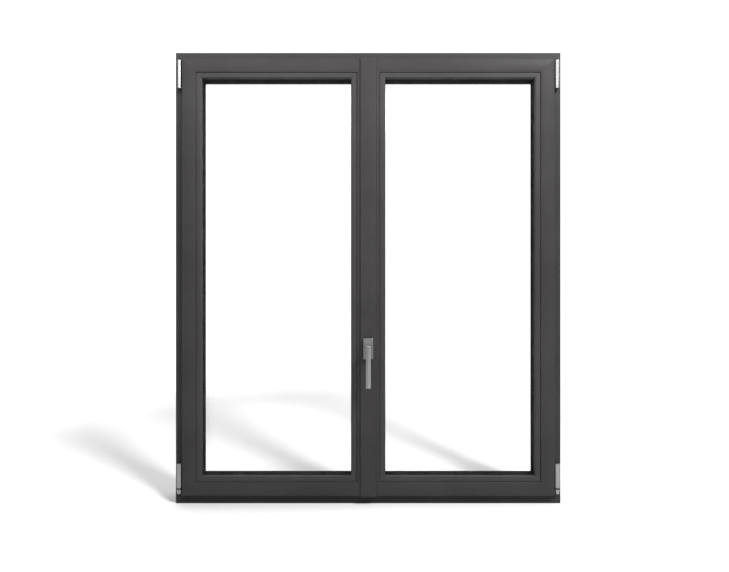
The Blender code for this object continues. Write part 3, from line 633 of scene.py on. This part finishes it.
# %% One screw head, as a template
def screw_head(radius):
    """Low head along +Z. A ring is its share of the radius, its height and the depth of its lobes."""
    sides, lobes = 24, 6
    rings = [(1.00, -0.30, 0), (1.00, 0.02, 0), (0.94, 0.10, 0), (0.62, 0.13, 0),
             (0.46, 0.12, 0.16), (0.42, -0.45, 0.16)]
    work = bmesh.new()
    loops = []
    for share, height, wave in rings:
        loop = []
        for i in range(sides):
            angle = math.tau * i / sides
            reach = radius * share * (1 + wave * math.cos(lobes * angle))
            loop.append(work.verts.new((reach * math.cos(angle), reach * math.sin(angle), radius * height)))
        loops.append(loop)
    for here, after in zip(loops, loops[1:]):
        for i in range(sides):
            j = (i + 1) % sides
            work.faces.new((here[i], here[j], after[j], after[i]))
    work.faces.new(loops[-1])
    work.faces.new(reversed(loops[0]))
    bmesh.ops.recalc_face_normals(work, faces=work.faces)
    return smooth(finished_mesh(work, "screw_head"), 35)


def template(name, mesh):
    obj = bpy.data.objects.new(name, mesh)
    bpy.context.scene.collection.objects.link(obj)
    obj.hide_render = True
    return obj


SCREW_RADIUS = 0.0034
screw = template("screw_template", screw_head(SCREW_RADIUS))


# %% The row tree: one template repeated along a straight line
def template_shape(wire, wires):
    whole = {"Object": wires["Template"], "As Instance": True}
    return wire.node("GeometryNodeObjectInfo", None, whole, out=4)


def make_row_tree():
    wire, wires = start_tree("row_of_one_template", Count=2, Start=(0.0, 0.0, 0.0),
                             Step=(0.0, 0.0, 0.1), Turn=(0.0, 0.0, 0.0),
                             Template="Object", Look="Material")
    line = wire.node("GeometryNodeMeshLine", {"mode": "OFFSET"},
                     {"Count": wires["Count"], "Start Location": wires["Start"], "Offset": wires["Step"]})
    shape = template_shape(wire, wires)
    turn = wire.node("FunctionNodeEulerToRotation", None, {"Euler": wires["Turn"]})
    copies = wire.node("GeometryNodeInstanceOnPoints", None,
                       {"Points": line, "Instance": shape, "Rotation": turn})
    return end_tree(wire, copies, wires["Look"])


row_tree = make_row_tree()
FACING = {"-X": (0, -math.pi / 2, 0), "+Y": (-math.pi / 2, 0, 0),
          "+Z": (0.0, 0.0, 0.0), "-Z": (math.pi, 0, 0)}


def make_row(name, shape, look, body, slot, start, end, count, facing):
    step = (Vector(end) - Vector(start)) / max(count - 1, 1)
    grown(name, row_tree, body, slot, Count=count, Start=tuple(start), Step=tuple(step),
          Turn=FACING[facing], Template=shape, Look=look)


# %% Screws in the faceplate, the stay rail and the strikers
FACEPLATE_END = 0.030     # from the end of the piece to the middle of its first screw
RAIL_NEAR = 0.090
RAIL_FAR = 0.020
STRIKER_NEAR = 0.005
STRIKER_FAR = 0.006


def screw_rows():
    low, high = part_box("faceplate")
    middle = (low.y + high.y) / 2
    make_row("faceplate_screws", screw, zinc, "active_leaf", "zinc_steel",
             (low.x, middle, low.z + FACEPLATE_END), (low.x, middle, high.z - FACEPLATE_END), 7, "-X")
    low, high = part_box("stay_rail")
    middle = (low.y + high.y) / 2
    make_row("stay_rail_screws", screw, zinc, "active_leaf", "zinc_steel",
             (low.x + RAIL_NEAR, middle, high.z), (high.x - RAIL_FAR, middle, high.z), 4, "+Z")
    for node, facing in (("striker_head", "-Z"), ("striker_sill", "+Z")):
        low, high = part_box(node)
        face = low.z if facing == "-Z" else high.z
        middle = (low.y + high.y) / 2
        make_row(f"{node}_screws", screw, zinc, "frame", "zinc_steel",
                 (low.x + STRIKER_NEAR, middle, face), (high.x - STRIKER_FAR, middle, face), 2, facing)


screw_rows()
print("screw rows made")

# %% [markdown]
# ## Spacer perforations
# The bar between the panes holds a drying agent and breathes through a line of tiny slots that
# show along its inner side. The slots are not cut: a third tree spaces one small black mark along
# the bar's rectangle and turns each mark to follow the path, and the black of each mark is painted
# shade that stands in for the dark inside a slot.


# %% The marks tree, and both spacers
def make_marks_tree():
    wire, wires = start_tree("marks_along_rectangle", Width=1.0, Height=1.0, Corner=0.001,
                             Centre=(0.0, 0.0, 0.0), Pitch=0.008, Template="Object", Look="Material")
    path = upright_rectangle(wire, wires)
    points = wire.node("GeometryNodeResampleCurve", {"mode": "LENGTH"},
                       {"Curve": path, "Length": wires["Pitch"]})
    shape = template_shape(wire, wires)
    tangent = wire.node("GeometryNodeInputTangent")
    turn = wire.node("FunctionNodeAlignRotationToVector", {"axis": "X", "pivot_axis": "Y"},
                     {"Vector": tangent})
    copies = wire.node("GeometryNodeInstanceOnPoints", None,
                       {"Points": points, "Instance": shape, "Rotation": turn})
    return end_tree(wire, copies, wires["Look"])


def slot_mark(length, width, height):
    """Small flat oblong with eight corners. Laid in black, it is painted shade for the dark inside of a
    slot.
    """
    work = bmesh.new()
    bmesh.ops.create_cone(work, cap_ends=True, segments=8, radius1=0.5, radius2=0.5, depth=1)
    bmesh.ops.scale(work, vec=(length, width, height), verts=work.verts)
    return finished_mesh(work, "slot_mark")


SLOT_PITCH = 0.012
SLOT_INSET = 0.007        # from the spacer's outer edge to the line of slots
marks_tree = make_marks_tree()
slot_shade_shape = template("slot_template", slot_mark(0.0024, 0.0007, 0.0003))


def make_perforations(leaf):
    low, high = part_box(f"{leaf}_spacer")
    # Black rubber marks: painted shade for the dark inside of each slot.
    grown(f"{leaf}_spacer_slots", marks_tree, BODY[f"{leaf}_rail_top"], "black_rubber",
          Width=high.x - low.x - 2 * SLOT_INSET, Height=high.z - low.z - 2 * SLOT_INSET, Pitch=SLOT_PITCH,
          Centre=((low.x + high.x) / 2, (low.y + high.y) / 2, (low.z + high.z) / 2),
          Template=slot_shade_shape, Look=rubber)


for leaf in LEAVES:
    make_perforations(leaf)
print("spacer slots made")

# %% [markdown]
# ## Hinge covers
# The covers are short bars with a shallow ridge down the front, which splits the light into a
# bright and a darker half. One plan outline is carried upwards, and two smaller rings ease in
# each end.


# %% A ridged bar between two heights
SHOULDER = 0.0012         # width of the eased corner beside the ridge


def ridged_outline(half, back, front, ridge):
    """Half of the plan outline, mirrored: sides, eased shoulders and a ridge in the middle."""
    face = front + ridge
    side = [(half - 0.0003, back), (half, back - 0.0004), (half, face + SHOULDER),
            (half - 0.35 * SHOULDER, face + 0.35 * SHOULDER), (half - SHOULDER, face),
            (0.0004, front + 0.00003)]
    return side + [(-x, y) for x, y in reversed(side)]


def ridged_bar(name, centre, low, high, outline, eases, taper=1.0):
    """Upright bar over a plan outline, its two ends eased; taper shrinks its lower end."""
    middle_y = sum(y for _, y in outline) / len(outline)
    half = max(x for x, _ in outline)
    lower, upper = eases
    levels = [(low, taper - lower / half), (low + 0.3 * lower, taper - 0.3 * lower / half),
              (low + lower, taper), (high - upper, 1.0),
              (high - 0.3 * upper, 1 - 0.3 * upper / half), (high, 1 - upper / half)]
    work = bmesh.new()
    loops = []
    for height, share in levels:
        plan = [(x * share, middle_y + (y - middle_y) * share) for x, y in outline]
        loops.append([work.verts.new((centre.x + x, centre.y + y, height)) for x, y in plan])
    for here, after in zip(loops, loops[1:]):
        for i in range(len(outline)):
            j = (i + 1) % len(outline)
            work.faces.new((here[i], here[j], after[j], after[i]))
    work.faces.new(loops[0])
    work.faces.new(loops[-1])
    bmesh.ops.recalc_face_normals(work, faces=work.faces)
    return smooth(finished_mesh(work, name), 6)


# %% Covers of the upper and the lower hinges
UPPER_HALF = 0.0060
LOWER_HALF = 0.0068
COVER_FRONT = -0.0076     # from the hinge axis, towards the room
COVER_BACK = 0.0052
RIDGE = 0.0016
END_EASE = 0.0008         # at an end that shows
CUT_EASE = 0.0002         # at an end that meets the next cover
UPPER_RISE = 0.0006       # how far the upper cover reaches past its CAD end
CAP_START = 0.0009        # from the same end to the cap on the knuckle
CAP_RISE = 0.0005
SLEEVE_RISE = 0.0004
REST_TAPER = 0.72
upper_outline = ridged_outline(UPPER_HALF, COVER_BACK, COVER_FRONT, RIDGE)
lower_outline = ridged_outline(LOWER_HALF, COVER_BACK, COVER_FRONT, RIDGE)
KNUCKLE_BODY = {"left": "passive_leaf", "right": "stay_arm"}
LEAF_OF = {"left": "passive", "right": "active"}


def make_hinge_covers(side):
    low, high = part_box(f"top_hinge_cover_{side}")
    pin_front, pin_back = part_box(f"top_pin_{side}")
    centre = Vector(((low.x + high.x) / 2, (pin_front.y + pin_back.y) / 2, 0))
    mesh = ridged_bar(f"upper_cover_{side}", centre, low.z, high.z + UPPER_RISE, upper_outline,
                      (END_EASE, CUT_EASE))
    piece(f"upper_hinge_cover_{side}", mesh, silver, "frame", [f"top_hinge_cover_{side}"])
    arm = "passive_top_band" if side == "left" else "stay_arm"
    arm_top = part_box(arm)[1].z
    mesh = ridged_bar(f"knuckle_cap_{side}", centre, high.z + CAP_START, arm_top + CAP_RISE,
                      upper_outline, (CUT_EASE, END_EASE))
    piece(f"upper_knuckle_cap_{side}", mesh, silver, KNUCKLE_BODY[side])
    sleeve = f"{LEAF_OF[side]}_hinge_sleeve"
    low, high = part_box(sleeve)
    mesh = ridged_bar(f"lower_cover_{side}", centre, low.z - SLEEVE_RISE, high.z + SLEEVE_RISE,
                      lower_outline, (END_EASE, END_EASE))
    piece(f"lower_hinge_cover_{side}", mesh, silver, BODY[sleeve])
    low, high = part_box(f"pivot_rest_{side}")
    mesh = ridged_bar(f"rest_cover_{side}", centre, low.z, high.z, lower_outline,
                      (END_EASE, END_EASE), REST_TAPER)
    piece(f"lower_rest_cover_{side}", mesh, silver, "frame", [f"pivot_rest_{side}"])


SLEEVE_ROUND = 0.0003
for side in ("left", "right"):
    make_hinge_covers(side)
for leaf in LEAVES:
    make_rounded(f"{leaf}_hinge_sleeve", SLEEVE_ROUND)
print("covers", round(2 * UPPER_HALF * 1000, 1), "and", round(2 * LOWER_HALF * 1000, 1), "mm wide")

# %% [markdown]
# ## Handle
# The rosette is a rounded plate with a raised rim and a sunken middle, which a duller insert
# fills. Both are lofts through rounded rectangles, because a loft keeps the corner radius under
# control at each level. The lever is a bar with the same ridge as the hinge covers, on a neck
# that is a loft through circles.


# %% Loft through rounded rectangles
def rounded_rectangle(half_w, half_h, radius, steps=5):
    """Points round a rectangle whose corners are quarter circles."""
    points = []
    for quarter, (sx, sz) in enumerate(((1, 1), (-1, 1), (-1, -1), (1, -1))):
        for i in range(steps + 1):
            angle = math.pi / 2 * (quarter + i / steps)
            points.append((sx * (half_w - radius) + radius * math.cos(angle),
                           sz * (half_h - radius) + radius * math.sin(angle)))
    return points


def loft(name, levels, degrees=30):
    """Closed skin through loops of 3-D points that all have the same count."""
    work = bmesh.new()
    loops = [[work.verts.new(point) for point in loop] for loop in levels]
    for here, after in zip(loops, loops[1:]):
        for i in range(len(here)):
            j = (i + 1) % len(here)
            work.faces.new((here[i], here[j], after[j], after[i]))
    work.faces.new(loops[0])
    work.faces.new(loops[-1])
    bmesh.ops.recalc_face_normals(work, faces=work.faces)
    return smooth(finished_mesh(work, name), degrees)


# %% Rosette
MM = 0.001                # one millimetre, in metres
# Each row is the inset from the outline, the corner radius and the depth behind the front, in mm.
RIM = ((0, 4.0, 1.6), (0.12, 3.9, 0.9), (0.45, 3.6, 0.35), (1.0, 3.1, 0), (2.6, 2.3, 0),
       (3.0, 2.1, 0.3), (3.2, 2.0, 1.4), (3.6, 1.8, 3.2))
INSERT = ((4.0, 1.5, 3.1), (4.0, 1.5, 2.95), (4.15, 1.5, 2.8))


def rosette_levels(rows):
    low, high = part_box("handle_rosette")
    middle, half = (low + high) / 2, (high - low) / 2
    levels = []
    for inset, radius, depth in rows:
        loop = rounded_rectangle(half.x - inset * MM, half.z - inset * MM, radius * MM)
        levels.append([(middle.x + x, low.y + depth * MM, middle.z + z) for x, z in loop])
    return levels


def make_rosette():
    """Plate with a rim round a recess, and an insert on the recess's floor."""
    low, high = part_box("handle_rosette")
    foot = (0, RIM[0][1], (high.y - low.y) / MM)
    mesh = loft("rosette", rosette_levels((foot, *RIM)))
    piece("handle_rosette_plate", mesh, silver, "active_leaf", ["handle_rosette"])
    mesh = loft("insert", rosette_levels(INSERT))
    piece("handle_rosette_insert", mesh, insert, "active_leaf")


make_rosette()


# %% Lever and neck
LEVER_HALF = 0.00725
LEVER_THICK = 0.012
LEVER_RIDGE = 0.0021
LEVER_EASE = 0.0012
NECK_SIDES = 32


def make_lever():
    low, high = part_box("handle_lever")
    plan = ridged_outline(LEVER_HALF, LEVER_THICK / 2, -LEVER_THICK / 2, LEVER_RIDGE)
    centre = Vector((0, low.y + LEVER_THICK / 2, 0))
    mesh = ridged_bar("lever_arm", centre, low.z, high.z, plan, (LEVER_EASE, LEVER_EASE))
    piece("handle_lever_arm", mesh, silver, "handle", ["handle_lever"])


def make_neck():
    """Collar in the rosette and neck up to the lever, as rings of (depth, radius)."""
    low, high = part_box("handle_rosette")
    face, turn_z = low.y, (low.z + high.z) / 2
    arm_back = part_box("handle_lever")[0].y + LEVER_THICK
    rings = ((face + 0.0026, 0.0098), (face - 0.0004, 0.0098), (face - 0.0012, 0.0090),
             (face - 0.0016, 0.0076), (arm_back + 0.003, 0.0070), (arm_back + 0.0006, 0.0071),
             (arm_back - 0.004, 0.0069))
    turns = [math.tau * i / NECK_SIDES for i in range(NECK_SIDES)]
    levels = [[(radius * math.cos(turn), y, turn_z + radius * math.sin(turn)) for turn in turns]
              for y, radius in rings]
    piece("handle_neck", loft("lever_neck", levels, 45), silver, "handle")


make_lever()
make_neck()
print("lever and rosette made")

# %% [markdown]
# ## Drainage
# Rain that gets into the sill drains through slots in its outside face, each under a small hood.
# The hood is one template, repeated by the same tree as the screws.


# %% Drain hoods on the outside of the sill
# Each row is the rise, half the length and half the height of one level.
HOOD = ((0, 0.016, 0.0065), (0.0012, 0.016, 0.0065), (0.0032, 0.0152, 0.0056), (0.0036, 0.0145, 0.0050))
HOOD_CORNER = 0.003
HOOD_UP = 0.016           # from the sill's underside to the middle of a hood
HOOD_END = 0.180          # from the frame's corner to the first hood


def hood_mesh():
    """Low hood along +Z with a sloping edge."""
    levels = []
    for rise, half_w, half_h in HOOD:
        levels.append([(x, z, rise) for x, z in rounded_rectangle(half_w, half_h, HOOD_CORNER)])
    return loft("drain_hood", levels)


hood = template("hood_template", hood_mesh())
low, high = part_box("frame_sill")
drain_z = low.z + HOOD_UP
make_row("drain_hoods", hood, foil_level, "frame", "dark_foil_pvc",
         (low.x + HOOD_END, high.y, drain_z), (high.x - HOOD_END, high.y, drain_z), 3, "+Y")
for shape in (screw, slot_shade_shape, hood):
    bpy.data.objects.remove(shape, do_unlink=True)
print("drain hoods", round(drain_z * 1000), "mm above the floor")

# %% Every CAD node that still shows gets its finish
for name, node in NODES.items():
    if not node.hide_render:
        node.data.materials.clear()
        node.data.materials.append(LOOKS[SLOT[name]])
print(sum(not node.hide_render for node in NODES.values()), "CAD nodes keep their own mesh")

# %% [markdown]
# ## Floor and light
# The window stands on a plain white studio floor. One soft round lamp, up in front to the right,
# throws the shadows back and to the left, and they spread because it stands near. A bright sky
# behind makes the backdrop white, and the floor fades into it behind the window, so that the
# camera sees no horizon. A panel high in front lights only the window, and makes its top lighter.

# %% Floor
FLOOR_SIDE = 16.0
FLOOR_BEHIND = 2.3        # how far the floor reaches behind the window
FADE = (1.25, 2.15)       # the floor fades between these distances from the window
FADE_SIDE = (0.0, 0.5)    # and only behind it, fully so from the second of these depths
floor_mesh = bpy.data.meshes.new("floor")
work = bmesh.new()
bmesh.ops.create_grid(work, x_segments=1, y_segments=1, size=FLOOR_SIDE / 2)
bmesh.ops.translate(work, vec=(0, FLOOR_BEHIND - FLOOR_SIDE / 2, 0), verts=work.verts)
work.to_mesh(floor_mesh)
work.free()
floor = bpy.data.objects.new("floor", floor_mesh)
bpy.context.scene.collection.objects.link(floor)
floor_look, wire, shader = new_material("studio_floor", Roughness=0.9, Specular_IOR_Level=0.1)
grain = noise(wire, 30.0)
feed(shader, "Base Color", mixed(wire, grain, (0.88, 0.88, 0.88), (0.90, 0.90, 0.90)))
spot = wire.node("ShaderNodeTexCoord", out=3)
reach = wire.node("ShaderNodeVectorMath", {"operation": "LENGTH"}, {0: spot}, out=1)
depth = wire.node("ShaderNodeSeparateXYZ", None, {"Vector": spot}, out=1)


def smoothly(wire, value, start, end):
    sizes = {"Value": value, "From Min": start, "From Max": end}
    return wire.node("ShaderNodeMapRange", {"interpolation_type": "SMOOTHSTEP"}, sizes)


fade = smoothly(wire, reach, *FADE) * smoothly(wire, depth, *FADE_SIDE)
feed(shader, "Alpha", 1.0 - fade)
floor_mesh.materials.append(floor_look)


# %% Sky, lamp and panel
UNDER = -0.12             # directions lower than this look under the floor


def set_sky(front, behind):
    """White behind the window and under the floor, and dimmer in front, by the direction alone."""
    world = bpy.data.worlds.new("studio")
    bpy.context.scene.world = world
    world.use_nodes = True
    wire = Wire(world.node_tree)
    where = wire.node("ShaderNodeTexCoord")
    depth = wire.node("ShaderNodeSeparateXYZ", None, {"Vector": where}, out=1)
    rise = wire.node("ShaderNodeSeparateXYZ", None, {"Vector": where}, out=2)
    under = wire.math("LESS_THAN", rise, UNDER)
    ramp = wire.node("ShaderNodeValToRGB", {"stops": [(0.40, front), (0.60, behind)]},
                     {0: depth * 0.5 + 0.5 + under})
    world.node_tree.links.new(ramp.socket, world.node_tree.nodes["Background"].inputs["Color"])
    world.node_tree.nodes["Background"].inputs["Strength"].default_value = 1.0


def aim(light, direction):
    light.rotation_euler = Vector(direction).to_track_quat("-Z", "Y").to_euler()


def add_light(name, kind, energy, place_at, direction, **settings):
    data = bpy.data.lights.new(name, kind)
    data.energy = energy
    for key, value in settings.items():
        setattr(data, key, value)
    light = bpy.data.objects.new(name, data)
    light.location = place_at
    aim(light, direction)
    bpy.context.scene.collection.objects.link(light)
    return light


def lights_only_the_window(light):
    """Leaves the floor out of a light's reach."""
    group = bpy.data.collections.new("not_lit_by_" + light.name)
    group.objects.link(floor)
    light.light_linking.receiver_collection = group
    group.collection_objects[0].light_linking.link_state = "EXCLUDE"


KEY_PLACE = Vector((1.75, -1.93, 3.06))
KEY_TARGET = Vector((-0.2, 0.3, 0.3))
PANEL_PLACE = (-0.55, -1.15, 2.05)
PANEL_FACES = (0.2, 1.0, -0.85)
set_sky(front=0.20, behind=1.30)
add_light("key", "AREA", 172.0, KEY_PLACE, KEY_TARGET - KEY_PLACE, shape="DISK", size=0.80)
panel = add_light("high_panel", "AREA", 27.0, PANEL_PLACE, PANEL_FACES, shape="RECTANGLE",
                  size=1.8, size_y=0.9)
lights_only_the_window(panel)
bpy.context.scene.view_settings.view_transform = "Standard"
print("lights set")
